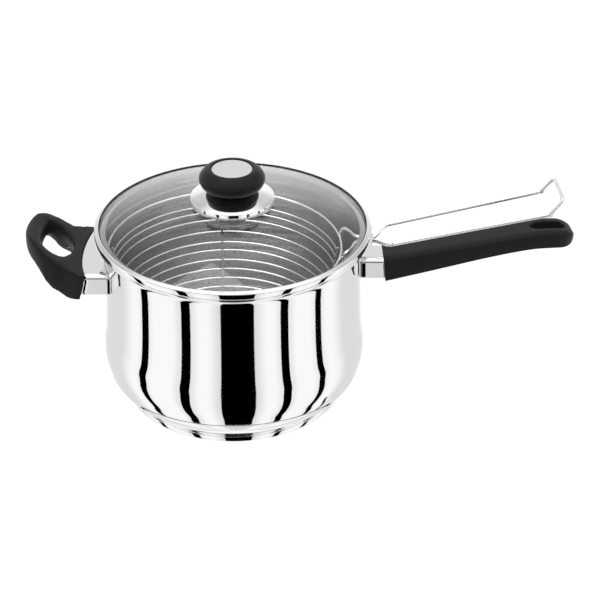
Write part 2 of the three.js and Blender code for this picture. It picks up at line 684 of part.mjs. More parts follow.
// One bent wire makes the handle: it rises outside the basket's rim, closes up to pass the pan's notch,
// opens into two arms over the long handle, and turns up at its end.
function basketHandleCurve() {
  const h = basketHandle;
  const rimX = basket.shift + Math.sqrt(basket.rimRadius ** 2 - h.rootHalf ** 2);
  const outX = rimX + basket.rimWire + basket.handleWire + gap;
  const notchX = pan.neckRadius + 0.6;
  const pass = pan.height - 10.2;
  const armX = notchX + 20.4;
  const armZ = pass + 4.4;
  const bendX = h.endX - 8.4;
  const armAt = (x) => armZ + (x - armX) * h.rise;
  const side = [
    [outX, h.rootHalf, basketRim - 3], [outX + 0.1, h.rootHalf, basketRim + 1.6],
    [outX + 2.2, h.rootHalf - 0.6, basketRim + 4], [outX + 6, h.rootHalf - 5.6, pass - 0.9],
    [notchX - 6, h.pinchHalf + 3, pass - 0.3], [notchX - 1, h.pinchHalf, pass],
    [notchX + 7.6, h.pinchHalf, pass + 0.5], [notchX + 12, h.pinchHalf + 4, pass + 1.6],
    [armX - 4, h.armHalf - 3, armZ - 1.2], [armX, h.armHalf, armZ], [armX + 6, h.armHalf + 0.1, armAt(armX + 6)],
    [(armX + bendX) / 2, (h.armHalf + h.endHalf) / 2, armAt((armX + bendX) / 2)],
    [bendX - 3, h.endHalf, armAt(bendX - 3)], [bendX, h.endHalf, armAt(bendX) + 0.5],
    [h.endX - 1.4, h.endHalf - 0.4, armAt(bendX) + 9.6], [h.endX - 0.2, h.endHalf - 3, armAt(bendX) + 12],
    [h.endX, h.endHalf - 8, armAt(bendX) + 12.6],
  ];
  const near = side.map(([x, y, z]) => new THREE.Vector3(x, -y, z));
  const far = side.map(([x, y, z]) => new THREE.Vector3(x, y, z)).reverse();
  return new THREE.CatmullRomCurve3([...near, ...far], false, 'centripetal');
}
add('basket_handle', wire(basketHandleCurve(), basket.handleWire, 76), wireSteel());

export default object;
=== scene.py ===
import math

import bmesh
import bpy
from mathutils import Matrix, Vector


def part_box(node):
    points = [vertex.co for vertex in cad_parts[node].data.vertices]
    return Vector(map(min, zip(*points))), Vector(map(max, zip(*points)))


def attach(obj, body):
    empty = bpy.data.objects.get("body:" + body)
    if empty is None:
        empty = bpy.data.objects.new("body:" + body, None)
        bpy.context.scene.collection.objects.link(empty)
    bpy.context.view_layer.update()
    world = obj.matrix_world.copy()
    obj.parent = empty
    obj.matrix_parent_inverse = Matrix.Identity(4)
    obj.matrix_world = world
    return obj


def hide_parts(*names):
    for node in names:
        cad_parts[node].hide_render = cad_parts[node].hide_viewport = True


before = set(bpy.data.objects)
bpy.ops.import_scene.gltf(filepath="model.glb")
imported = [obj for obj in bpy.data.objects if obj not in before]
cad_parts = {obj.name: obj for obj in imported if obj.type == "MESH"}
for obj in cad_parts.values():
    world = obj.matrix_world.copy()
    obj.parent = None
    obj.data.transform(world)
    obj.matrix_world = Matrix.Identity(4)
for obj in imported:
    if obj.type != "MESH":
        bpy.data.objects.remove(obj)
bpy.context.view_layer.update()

MM = 0.001
TAU = 2 * math.pi
UP = Vector((0, 0, 1))
ORIGIN = Vector((0, 0, 0))
MERGE = 0.002  # vertices closer than this are one


# ------------------------------------------------------------------ sizes, read from the frame in mm
def corners(node):
    low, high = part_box(node)
    return low / MM, high / MM


_, pan_high = corners("pan_body")
_, cap_high = corners("base_cap")
band_low, band_high = corners("lid_rim_band")
glass_low, glass_high = corners("lid_glass")
skirt_low, skirt_high = corners("knob_skirt")
knob_low, knob_high = corners("knob_body")
disc_low, disc_high = corners("knob_top_disc")
ferrule_low, ferrule_high = corners("long_handle_ferrule")
_, grip_high = corners("long_handle_grip")
_, wide_high = corners("helper_handle_ferrule")
loop_low, _ = corners("helper_handle_grip")
rim_low, rim_high = corners("basket_rim_wire")
_, bail_high = corners("basket_handle")

RIM = pan_high.z
RIM_RADIUS = pan_high.y
NECK_RADIUS = RIM_RADIUS - 5.6
NECK = RIM - 7.5
BELLY_RADIUS = RIM_RADIUS - 0.3
BELLY = 39.0
PAN_FLOOR = cap_high.z + 0.3
WALL = 1.0


# ------------------------------------------------------------------ small tools for profiles and curves
def smooth_line(points, steps):
    """A curve through every point, with this many steps between neighbours."""
    line = []
    last = len(points) - 1
    for i in range(last):
        a, b = Vector(points[i]), Vector(points[i + 1])
        before = Vector(points[i - 1]) if i else a - (b - a)
        after = Vector(points[i + 2]) if i + 1 < last else b + (b - a)
        for k in range(steps):
            t = k / steps
            bend = 2 * before - 5 * a + 4 * b - after
            twist = 3 * a - before - 3 * b + after
            line.append(a + 0.5 * t * (b - before + t * (bend + t * twist)))
    line.append(Vector(points[-1]))
    return line


def rounded(points, closed=True, steps=6):
    """Corners given as (x, y, radius) turned into a line with each corner rounded to its radius."""
    line = []
    count = len(points)
    for i, (x, y, radius) in enumerate(points):
        corner = Vector((x, y))
        if radius == 0 or (not closed and i in (0, count - 1)):
            line.append(corner)
            continue
        back = Vector(points[i - 1][:2]) - corner
        ahead = Vector(points[(i + 1) % count][:2]) - corner
        half = back.angle(ahead) / 2
        reach = radius / math.tan(half)
        start = corner + back.normalized() * reach
        end = corner + ahead.normalized() * reach
        centre = corner + (back.normalized() + ahead.normalized()).normalized() * radius / math.sin(half)
        spoke, far = start - centre, end - centre
        turn = spoke.angle_signed(far)
        for k in range(steps + 1):
            line.append(centre + Matrix.Rotation(-turn * k / steps, 2) @ spoke)
    return line


def height_on(line, x):
    """The height of a side-view line at distance x."""
    for a, b in zip(line, line[1:]):
        if a.x <= x <= b.x and b.x > a.x:
            return a.y + (b.y - a.y) * (x - a.x) / (b.x - a.x)
    return line[0].y if x < line[0].x else line[-1].y


# ------------------------------------------------------------------ small tools for meshes
def thread(bm, points, closed=False):
    """Vertices joined in a line, with points in mm."""
    verts = [bm.verts.new(Vector(p) * MM) for p in points]
    pairs = list(zip(verts, verts[1:]))
    if closed:
        pairs.append((verts[-1], verts[0]))
    edges = [bm.edges.new(pair) for pair in pairs]
    return verts, edges


def turn_about_axis(bm, geom, angle=TAU, steps=160):
    bmesh.ops.spin(bm, geom=geom, cent=ORIGIN, axis=UP, dvec=ORIGIN, angle=angle, steps=steps,
                   use_merge=abs(angle - TAU) < 1e-6, use_duplicate=False)


def grow_rows(bm, count):
    """Extrudes the mesh's line of edges this many times: a list of the rows of vertices."""
    rows = [list(bm.verts)]
    for _ in range(count):
        last_row = [e for e in bm.edges if all(v in rows[-1] for v in e.verts)]
        grown = bmesh.ops.extrude_edge_only(bm, edges=last_row)
        rows.append([g for g in grown["geom"] if isinstance(g, bmesh.types.BMVert)])
    return rows


def finished(bm, name, material, body, replaces, crease=38):
    """Cleans the mesh, shades it smooth up to the crease angle, and hangs it on its body."""
    bmesh.ops.remove_doubles(bm, verts=bm.verts, dist=MERGE * MM)
    bmesh.ops.recalc_face_normals(bm, faces=bm.faces)
    for face in bm.faces:
        face.smooth = True
    limit = math.radians(crease)
    for edge in bm.edges:
        edge.smooth = len(edge.link_faces) == 2 and edge.calc_face_angle(0) < limit
    mesh = bpy.data.meshes.new(name)
    bm.to_mesh(mesh)
    bm.free()
    piece = bpy.data.objects.new(name, mesh)
    bpy.context.scene.collection.objects.link(piece)
    mesh.materials.append(material)
    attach(piece, body)
    if replaces:
        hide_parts(*replaces)
    return piece


def turned(name, profile, material, body, replaces, steps=160, closed=True, crease=38):
    """A piece turned about the pan's axis from (radius, height) points."""
    bm = bmesh.new()
    verts, edges = thread(bm, [(p[0], 0, p[1]) for p in profile], closed)
    turn_about_axis(bm, verts + edges, steps=steps)
    return finished(bm, name, material, body, replaces, crease)


def wire_piece(name, runs, radius, material, body, replaces, sides=4):
    """Round wire along one or more runs of points in mm."""
    data = bpy.data.curves.new(name, "CURVE")
    data.dimensions = "3D"
    data.bevel_depth = radius * MM
    data.bevel_resolution = sides
    data.use_fill_caps = True
    for run, closed in runs:
        spline = data.splines.new("POLY")
        spline.points.add(len(run) - 1)
        for point, place in zip(spline.points, run):
            point.co = (*(Vector(place) * MM), 1)
        spline.use_cyclic_u = closed
        spline.use_smooth = True
    piece = bpy.data.objects.new(name, data)
    bpy.context.scene.collection.objects.link(piece)
    data.materials.append(material)
    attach(piece, body)
    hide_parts(*replaces)
    return piece


# ------------------------------------------------------------------ materials
def colour(text):
    """An sRGB hex value as linear RGBA."""
    parts = [int(text[i:i + 2], 16) / 255 for i in (1, 3, 5)]
    return [p / 12.92 if p <= 0.04045 else ((p + 0.055) / 1.055) ** 2.4 for p in parts] + [1]


def node(tree, kind, links=(), **settings):
    """Adds a shader node: settings name its properties or sockets, and links join sockets to it."""
    made = tree.nodes.new(kind)
    for key, value in settings.items():
        if hasattr(made, key) and key not in made.inputs:
            setattr(made, key, value)
        else:
            made.inputs[int(key[1:]) if key[0] == "_" else key.replace("_", " ")].default_value = value
    for socket, source in links:
        tree.links.new(source, made.inputs[socket])
    return made


def new_material(name):
    made = bpy.data.materials.new(name)
    made.use_nodes = True
    made.node_tree.nodes.clear()
    return made, made.node_tree


def wheel_polished_metal(name, tint, roughness, streak, grain_mm):
    """Sheet polished or turned on a wheel, from mirror 18/10 stainless to the core's aluminium: faint
    level rings of polish, and a slightly uneven gloss, which breaks its reflections a little. The rings
    are grain_mm apart, coarser than real polishing lines, so that they show."""
    made, tree = new_material(name)
    place = node(tree, "ShaderNodeTexCoord")
    rings = node(tree, "ShaderNodeMapping", [("Vector", place.outputs["Object"])],
                 Scale=(20, 20, 1000 / grain_mm))
    lines = node(tree, "ShaderNodeTexNoise", [("Vector", rings.outputs[0])], Scale=1.0, Detail=3.0)
    cloud = node(tree, "ShaderNodeTexNoise", [("Vector", place.outputs["Object"])], Scale=32.0, Detail=3.0)
    gloss = node(tree, "ShaderNodeMapRange", [("Value", cloud.outputs["Fac"])],
                 From_Min=0.3, From_Max=0.7, To_Min=roughness * 0.7, To_Max=roughness * 1.4)
    tone = node(tree, "ShaderNodeMapRange", [("Value", lines.outputs["Fac"])],
                From_Min=0.3, From_Max=0.7, To_Min=0.97, To_Max=1.0)
    shade = node(tree, "ShaderNodeMix", [("Factor", tone.outputs[0])], data_type="RGBA",
                 _6=colour("#c2c2c2"), _7=colour(tint))
    relief = node(tree, "ShaderNodeBump", [("Height", lines.outputs["Fac"])],
                  Strength=streak, Distance=0.00002)
    skin = node(tree, "ShaderNodeBsdfPrincipled", [
        ("Base Color", shade.outputs[2]), ("Roughness", gloss.outputs[0]), ("Normal", relief.outputs[0])],
        Metallic=1.0)
    node(tree, "ShaderNodeOutputMaterial", [("Surface", skin.outputs[0])])
    return made


def moulded_phenolic(name, shade_hex, cloud_hex, roughness, specular):
    """Phenolic resin, compression moulded in a spark-eroded tool: black with a satin pebble, a faint
    cloudiness from its filler, and a gloss that varies with it. The pebble is about 0.7 mm, coarser
    than the tool's real texture, so that it shows."""
    made, tree = new_material(name)
    place = node(tree, "ShaderNodeTexCoord")
    pebble = node(tree, "ShaderNodeTexNoise", [("Vector", place.outputs["Object"])], Scale=1400.0, Detail=2.0)
    cloud = node(tree, "ShaderNodeTexNoise", [("Vector", place.outputs["Object"])], Scale=60.0, Detail=4.0)
    shade = node(tree, "ShaderNodeMix", [("Factor", cloud.outputs["Fac"])], data_type="RGBA",
                 _6=colour(shade_hex), _7=colour(cloud_hex))
    gloss = node(tree, "ShaderNodeMapRange", [("Value", cloud.outputs["Fac"])],
                 From_Min=0.3, From_Max=0.7, To_Min=roughness - 0.05, To_Max=roughness + 0.06)
    relief = node(tree, "ShaderNodeBump", [("Height", pebble.outputs["Fac"])],
                  Strength=0.35, Distance=0.00008)
    skin = node(tree, "ShaderNodeBsdfPrincipled", [
        ("Base Color", shade.outputs[2]), ("Roughness", gloss.outputs[0]), ("Normal", relief.outputs[0])],
        Specular_IOR_Level=specular)
    node(tree, "ShaderNodeOutputMaterial", [("Surface", skin.outputs[0])])
    return made


def tempered_glass(name):
    """Clear soda-lime glass, pressed and tempered: colourless through 3 mm, with the faintest ripple."""
    made, tree = new_material(name)
    place = node(tree, "ShaderNodeTexCoord")
    ripple = node(tree, "ShaderNodeTexNoise", [("Vector", place.outputs["Object"])], Scale=24.0, Detail=1.0)
    relief = node(tree, "ShaderNodeBump", [("Height", ripple.outputs["Fac"])],
                  Strength=0.02, Distance=0.0002)
    skin = node(tree, "ShaderNodeBsdfPrincipled", [("Normal", relief.outputs[0])],
                Base_Color=colour("#fdfdfd"), Roughness=0.0, IOR=1.5, Transmission_Weight=1.0)
    node(tree, "ShaderNodeOutputMaterial", [("Surface", skin.outputs[0])])
    return made


def drawn_wire(name):
    """Bright drawn stainless wire, electropolished after welding: shiny, with a slightly uneven gloss."""
    made, tree = new_material(name)
    place = node(tree, "ShaderNodeTexCoord")
    grain = node(tree, "ShaderNodeTexNoise", [("Vector", place.outputs["Object"])], Scale=260.0, Detail=3.0)
    gloss = node(tree, "ShaderNodeMapRange", [("Value", grain.outputs["Fac"])],
                 From_Min=0.3, From_Max=0.7, To_Min=0.09, To_Max=0.17)
    shade = node(tree, "ShaderNodeMix", [("Factor", grain.outputs["Fac"])], data_type="RGBA",
                 _6=colour("#e6e6e6"), _7=colour("#f8f8f8"))
    skin = node(tree, "ShaderNodeBsdfPrincipled", [
        ("Base Color", shade.outputs[2]), ("Roughness", gloss.outputs[0])], Metallic=1.0)
    node(tree, "ShaderNodeOutputMaterial", [("Surface", skin.outputs[0])])
    return made


def soft_silicone(name, shade_hex, bloom_hex):
    """Moulded silicone: matte, with a soft bloom that lightens it in patches."""
    made, tree = new_material(name)
    place = node(tree, "ShaderNodeTexCoord")
    bloom = node(tree, "ShaderNodeTexNoise", [("Vector", place.outputs["Object"])], Scale=300.0, Detail=2.0)
    shade = node(tree, "ShaderNodeMix", [("Factor", bloom.outputs["Fac"])], data_type="RGBA",
                 _6=colour(shade_hex), _7=colour(bloom_hex))
    skin = node(tree, "ShaderNodeBsdfPrincipled", [("Base Color", shade.outputs[2])], Roughness=0.55,
                Specular_IOR_Level=0.2)
    node(tree, "ShaderNodeOutputMaterial", [("Surface", skin.outputs[0])])
    return made


mirror_steel = wheel_polished_metal("mirror polished stainless", "#efefef", 0.035, 0.03, 0.6)
pressed_steel = wheel_polished_metal("pressed and polished stainless", "#ececec", 0.07, 0.04, 0.4)
spun_steel = wheel_polished_metal("turned stainless disc", "#e4e4e4", 0.12, 0.1, 0.3)
# The inside is satin, rougher than the outside; its darker tint is painted shade for the dim inside of the
# pan.
inside_steel_painted_shade = wheel_polished_metal("satin stainless inside with painted shade", "#a8a8a8", 0.15, 0.0, 0.4)
core_aluminium = wheel_polished_metal("rolled aluminium core", "#cdcfd2", 0.4, 0.4, 0.3)
handle_phenolic = moulded_phenolic("satin moulded phenolic", "#141414", "#1c1c1c", 0.42, 0.14)
knob_phenolic = moulded_phenolic("glossier moulded phenolic", "#141414", "#1a1a1a", 0.36, 0.16)
lid_glass = tempered_glass("clear tempered glass")
basket_wire = drawn_wire("bright drawn stainless wire")
seal_silicone = soft_silicone("milky silicone", "#c9c9c4", "#dededa")
# The black bead at the lid's hem is painted shade, drawn with the silicone recipe.
hem_shade_bead_finish = soft_silicone("black painted shade bead", "#141414", "#1c1c1c")

for node_name, finish in (
    ("base_core", core_aluminium), ("long_handle_bracket", pressed_steel),
    ("helper_handle_bracket", pressed_steel), ("long_handle_screw", spun_steel),
    ("helper_handle_screw_left", spun_steel), ("helper_handle_screw_right", spun_steel),
    ("knob_gasket", seal_silicone), ("knob_seal", seal_silicone), ("knob_bolt", spun_steel),
    ("knob_washer", spun_steel),
):
    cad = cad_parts[node_name]
    cad.data.materials.clear()
    cad.data.materials.append(finish)

# ------------------------------------------------------------------ pan body
# The wall's outside from the foot to the neck: a round belly under a nearly straight wall.
wall_line = smooth_line([
    (BELLY_RADIUS - 23.9, PAN_FLOOR), (BELLY_RADIUS - 16.9, PAN_FLOOR + 0.9),
    (BELLY_RADIUS - 10.6, PAN_FLOOR + 4.2), (BELLY_RADIUS - 3.2, PAN_FLOOR + 13.3),
    (BELLY_RADIUS - 0.7, BELLY - 9), (BELLY_RADIUS, BELLY), (BELLY_RADIUS - 0.8, BELLY + 11),
    (NECK_RADIUS + 3.1, BELLY + 22), (NECK_RADIUS + 1.9, BELLY + 40), (NECK_RADIUS + 0.9, BELLY + 64),
    (NECK_RADIUS, NECK),
], 5)


def wall_radius(z):
    """The pan's outside radius at a height."""
    for a, b in zip(wall_line, wall_line[1:]):
        if a.y <= z <= b.y:
            return a.x + (b.x - a.x) * (z - a.y) / max(b.y - a.y, 1e-6)
    return NECK_RADIUS


def inside_of(line, thickness):
    """The line moved inwards by the sheet's thickness."""
    moved = []
    for i, p in enumerate(line):
        along = (line[min(i + 1, len(line) - 1)] - line[max(i - 1, 0)]).normalized()
        moved.append(p + Vector((-along.y, along.x)) * thickness)
    return moved


NOTCH_HALF = 5.6
NOTCH_LOW = RIM - 14.2
NOTCH_SPRING = NOTCH_LOW + NOTCH_HALF
notch_angle = math.asin(NOTCH_HALF / NECK_RADIUS)


def pan_shell():
    low_line = [p for p in wall_line if p.y < NOTCH_LOW - 2]
    inner_line = inside_of(low_line, WALL)
    spring = Vector((wall_radius(NOTCH_SPRING), NOTCH_SPRING))
    lip = rounded([
        (NECK_RADIUS - 0.1, NECK + 0.6, 0), (NECK_RADIUS + 0.7, RIM - 4.4, 4), (RIM_RADIUS, RIM - 2.0, 1.2),
        (RIM_RADIUS, RIM, 0.5), (RIM_RADIUS - 2.6, RIM, 1.6), (NECK_RADIUS - 0.2, RIM - 3.2, 4),
        (NECK_RADIUS - WALL - 0.1, NECK + 0.6, 0),
    ], closed=False)
    low_outer = [(0, PAN_FLOOR)] + [tuple(p) for p in low_line] + [tuple(spring)]
    low_inner = [(spring.x - WALL, spring.y)] + [tuple(p) for p in reversed(inner_line)]
    low_inner.append((0, PAN_FLOOR + WALL))
    bm = bmesh.new()
    # The full height, turned from one side of the notch round to the other.
    verts, edges = thread(bm, [(p[0], 0, p[1]) for p in low_outer + lip + low_inner])
    start = Matrix.Rotation(notch_angle, 3, "Z")
    bmesh.ops.rotate(bm, cent=ORIGIN, matrix=start, verts=verts)
    turn_about_axis(bm, verts + edges, TAU - 2 * notch_angle, 172)
    # Under the notch only the lower wall carries on.
    verts, edges = thread(bm, [(p[0], 0, p[1]) for p in low_outer + low_inner])
    bmesh.ops.rotate(bm, cent=ORIGIN, matrix=start.inverted(), verts=verts)
    kept = set(bm.verts) - set(verts)
    turn_about_axis(bm, verts + edges, 2 * notch_angle, 8)
    sill = [v for v in bm.verts if v not in kept and abs(v.co.z / MM - NOTCH_SPRING) < 0.01]
    for vert in sill:
        across = min(abs(vert.co.y / MM), NOTCH_HALF)
        vert.co.z = (NOTCH_SPRING - math.sqrt(NOTCH_HALF ** 2 - across ** 2)) * MM
    bmesh.ops.remove_doubles(bm, verts=bm.verts, dist=0.02 * MM)
    bmesh.ops.holes_fill(bm, edges=[e for e in bm.edges if e.is_boundary], sides=0)
    shell = finished(bm, "pan_shell", mirror_steel, "pan", ["pan_body"])
    # Faces turned inwards below the neck, and the inside floor, take the darker inside steel: painted shade
    # inside the pan.
    shell.data.materials.append(inside_steel_painted_shade)
    for face in shell.data.polygons:
        spoke = Vector((face.center.x, face.center.y, 0))
        turned_in = face.normal.dot(spoke) < 0 and face.center.z < NECK * MM
        floor_up = face.normal.z > 0.5 and face.center.z < (PAN_FLOOR + 12) * MM
        if turned_in or floor_up:
            face.material_index = 1


def notch_collar():
    """The formed lip that guides the basket's handle through the wall."""
    reach = 8.4
    sheet = 0.9
    half = NOTCH_HALF + 0.5
    top = RIM - 1.4
    foot = NOTCH_LOW - 0.5
    outline = rounded([(-half, top, 0), (-half, foot, half - 0.1), (half, foot, half - 0.1),
                       (half, top, 0)], closed=False, steps=10)
    bm = bmesh.new()
    verts, edges = thread(bm, [(NECK_RADIUS - 0.6, p.x, p.y) for p in outline])
    grown = bmesh.ops.extrude_edge_only(bm, edges=edges)
    moved = [g for g in grown["geom"] if isinstance(g, bmesh.types.BMVert)]
    bmesh.ops.translate(bm, vec=Vector((reach, 0, 0)) * MM, verts=moved)
    bmesh.ops.recalc_face_normals(bm, faces=bm.faces)
    bmesh.ops.solidify(bm, geom=bm.faces[:] + bm.edges[:] + bm.verts[:], thickness=sheet * MM)
    sharp = [e for e in bm.edges if e.calc_face_angle(0) > 1]
    bmesh.ops.bevel(bm, geom=sharp, offset=0.3 * MM, segments=3, profile=0.5, affect="EDGES", material=-1)
    finished(bm, "notch_collar", mirror_steel, "pan", [])


pan_shell()
notch_collar()

# ------------------------------------------------------------------ base
BASE = cap_high.z
BASE_RADIUS = cap_high.x
turned("base_disc", rounded([
    (0, 0, 0), (BASE_RADIUS, 0, 1.1), (BASE_RADIUS, BASE - 1.6, 0.5), (BASE_RADIUS - 0.9, BASE - 1.2, 0.3),
    (BASE_RADIUS - 0.9, BASE, 0.4), (BASE_RADIUS - 2.1, BASE, 0.3), (BASE_RADIUS - 2.1, 0.9, 0), (0, 0.9, 0),
]), mirror_steel, "pan", ["base_cap"], closed=False)

# ------------------------------------------------------------------ lid
BAND_RADIUS = band_high.x
GLASS_EDGE = glass_high.x
GLASS = 2.8
DOME = glass_high.z - glass_low.z - GLASS
glass_rim = glass_low.z + GLASS
glass_hole = 3.2


def dome(radius):
    """How far the glass has risen at a radius."""
    return DOME * (1 - (radius / GLASS_EDGE) ** 2)


dome_radii = [GLASS_EDGE - 0.9 - (GLASS_EDGE - 0.9 - glass_hole) * k / 34 for k in range(35)]
glass_top = [(r, glass_rim + dome(r)) for r in dome_radii]
glass_under = [(r, glass_low.z + dome(r)) for r in reversed(dome_radii)]
glass_side = [(GLASS_EDGE - 0.3, glass_low.z + 0.5), (GLASS_EDGE, glass_low.z + 1.0),
              (GLASS_EDGE, glass_rim - 0.8), (GLASS_EDGE - 0.3, glass_rim - 0.2)]
turned("lid_dome_glass", glass_top + glass_under + glass_side, lid_glass, "lid", ["lid_glass"],
       steps=180, crease=60)

flange = NECK_RADIUS - WALL - 1.0
band_foot = RIM + 0.3
lap = BAND_RADIUS - 3.2
SHEET = 0.5
lap_top = glass_rim + 0.3 + SHEET + dome(lap)
band_top = glass_rim + 0.3 + SHEET
HEM = 0.55
FLANGE_OUT = 99.8
band = turned("lid_band", rounded([
    (flange, band_low.z, 0.1), (flange, band_foot, 0.4), (BAND_RADIUS, band_foot, 0.9),
    (BAND_RADIUS, band_top + 0.1, 1.3), (lap + 0.9, lap_top + HEM - 0.15, 0.5), (lap, lap_top + HEM, 0.25),
    (lap, lap_top - SHEET, 0.1), (GLASS_EDGE + 0.3, band_top - SHEET, 0.6),
    (GLASS_EDGE + 0.3, band_foot + SHEET, 0.2), (FLANGE_OUT, band_foot + SHEET, 0),
    (flange - SHEET, band_foot + SHEET, 0.2), (flange - SHEET, band_low.z, 0.1),
]), mirror_steel, "lid", ["lid_rim_band"], steps=180)
# The band's faces inside the pan take the same darker steel: painted shade under the lid.
band.data.materials.append(inside_steel_painted_shade)
for face in band.data.polygons:
    reach = math.hypot(face.center.x, face.center.y) / MM
    if reach < FLANGE_OUT and face.center.z / MM > band_low.z + 0.3 and face.normal.z > -0.7:
        face.material_index = 1
# A thin black bead fills the corner between the hem and the glass: painted shade for the dark line along the
# band's inner edge.
bead_low = [(r, glass_rim + dome(r) + 0.02) for r in (lap - 0.7, lap - 0.4, lap + 0.3)]
turned("hem_painted_shade_bead", [
    *bead_low, (lap + 0.3, bead_low[2][1] + 0.28), (lap - 0.3, bead_low[1][1] + 0.36),
    (lap - 0.6, bead_low[0][1] + 0.2),
], hem_shade_bead_finish, "lid", [], steps=180, crease=70)

# ------------------------------------------------------------------ knob
SKIRT_RADIUS = skirt_high.x
SKIRT_SHEET = 0.9
skirt_top = skirt_high.z
skirt_foot = skirt_low.z
bolt_hole = 2.8
skirt_line = smooth_line([
    (SKIRT_RADIUS - 0.5, skirt_foot + 4.8), (SKIRT_RADIUS - 2.3, skirt_top - 4),
    (SKIRT_RADIUS - 6.1, skirt_top - 2.6), (SKIRT_RADIUS - 10.6, skirt_top - 1), (16.0, skirt_top)], 9)
skirt_under = [(p.x - 0.35, p.y - SKIRT_SHEET) for p in reversed(skirt_line)]
turned("knob_skirt_plate", [
    (SKIRT_RADIUS, skirt_foot), (SKIRT_RADIUS, skirt_foot + 4.2), (SKIRT_RADIUS - 0.15, skirt_foot + 4.55),
    *skirt_line, (bolt_hole, skirt_top), (bolt_hole, skirt_top - SKIRT_SHEET), *skirt_under,
    (SKIRT_RADIUS - SKIRT_SHEET, skirt_foot + 3.4), (SKIRT_RADIUS - SKIRT_SHEET, skirt_foot),
], mirror_steel, "lid", ["knob_skirt"], steps=140, crease=30)

knob_foot = knob_low.z
knob_top = knob_high.z
KNOB_RADIUS = knob_high.x
NECK_OF_KNOB = 19.3
FOOT_OF_KNOB = 15.6
DISC_RADIUS = disc_high.x
recess = disc_low.z - 0.3
bolt_top = knob_top - 8.7
# Two low moulded steps run round the knob's foot.
neck_steps = []
for k in range(2):
    ring = knob_foot + 0.6 + 0.7 * k
    reach = FOOT_OF_KNOB + 1.1 + 1.3 * k
    neck_steps += [
        (reach, ring - 0.1, 0.1), (reach + 0.35, ring + 0.15, 0.1), (reach + 0.2, ring + 0.35, 0.08)]
knob_outline = smooth_line([
    (NECK_OF_KNOB + 0.8, knob_foot + 2.3), (KNOB_RADIUS - 1.7, knob_foot + 4.6),
    (KNOB_RADIUS, knob_top - 8.2), (KNOB_RADIUS - 1.1, knob_top - 4.7), (KNOB_RADIUS - 4.2, knob_top - 1.4),
    (DISC_RADIUS + 1.8, knob_top)], 12)
knob_profile = rounded([
    (bolt_hole, knob_foot, 0.1), (FOOT_OF_KNOB, knob_foot, 0.3), *neck_steps,
    (NECK_OF_KNOB, knob_foot + 1.95, 0.15), (NECK_OF_KNOB + 0.1, knob_foot + 2.15, 0)], closed=False)
knob_profile += knob_outline + rounded([
    (DISC_RADIUS + 1.5, knob_top, 0), (DISC_RADIUS + 0.4, knob_top - 0.2, 0.5),
    (DISC_RADIUS + 0.3, recess, 0.1), (0, recess, 0)], closed=False)
knob_profile += [Vector((0, bolt_top)), Vector((bolt_hole, bolt_top))]
turned("knob_grip", knob_profile, knob_phenolic, "lid", ["knob_body"], steps=140)
turned("knob_cap_disc", rounded([
    (0, disc_low.z, 0), (DISC_RADIUS, disc_low.z, 0.2), (DISC_RADIUS, disc_high.z, 0.45),
    (DISC_RADIUS - 0.9, disc_high.z - 0.02, 0.3), (0, disc_high.z - 0.12, 0),
], closed=False), spun_steel, "lid", ["knob_top_disc"], closed=False, steps=140)

# ------------------------------------------------------------------ ferrules
FERRULE_TOP = ferrule_high.z
FERRULE_LOW = ferrule_low.z
FERRULE_SHEET = 1.0
REACH = 115.0


def sleeve(name, half_width, facing, end_at, cad_node):
    """Polished sheet wrapped round the bracket: its inner edge follows the pan's wall."""
    bm = bmesh.new()
    outline = rounded([
        (-half_width, FERRULE_LOW, 3), (half_width, FERRULE_LOW, 3),
        (half_width, FERRULE_TOP, 4.6), (-half_width, FERRULE_TOP, 4.6)], steps=7)
    verts, edges = thread(bm, [(0, p.x, p.y) for p in outline], closed=True)
    long_edges = [e for e in edges if e.calc_length() > 3 * MM]
    bmesh.ops.subdivide_edges(bm, edges=long_edges, cuts=15)
    rows = grow_rows(bm, 5)
    for i, row in enumerate(rows):
        for vert in row:
            y, z = vert.co.y / MM, vert.co.z / MM
            root = math.sqrt(wall_radius(z) ** 2 - y * y) + 0.12
            end = end_at(y, z)
            vert.co.x = (root + (end - root) * i / (len(rows) - 1)) * MM * facing
    bmesh.ops.recalc_face_normals(bm, faces=bm.faces)
    bmesh.ops.solidify(bm, geom=bm.faces[:] + bm.edges[:] + bm.verts[:], thickness=FERRULE_SHEET * MM)
    sharp = [e for e in bm.edges if e.calc_face_angle(0) > 1.2]
    bmesh.ops.bevel(bm, geom=sharp, offset=0.15 * MM, segments=2, profile=0.5, affect="EDGES", material=-1)
    finished(bm, name, pressed_steel, "pan", [cad_node])


def lean(z):
    """Where the long grip's root stands at a height."""
    return REACH - 0.8 + (FERRULE_TOP - z) * 0.11


def cone(z):
    """The radius at which the wide ferrule ends: it flares out towards its foot."""
    return REACH + 4.6 * (FERRULE_TOP - z) / (FERRULE_TOP - FERRULE_LOW)


sleeve("long_handle_sleeve", ferrule_high.y, 1, lambda y, z: lean(z) - 0.15, "long_handle_ferrule")
sleeve("helper_handle_sleeve", wide_high.y, -1, lambda y, z: math.sqrt(cone(z) ** 2 - y * y) - 0.15,
       "helper_handle_ferrule")

# ------------------------------------------------------------------ long grip
GRIP_HALF = grip_high.y
grip_start = lean(FERRULE_TOP)
grip_length = grip_high.x - grip_start


def along(share):
    return grip_start + grip_length * share


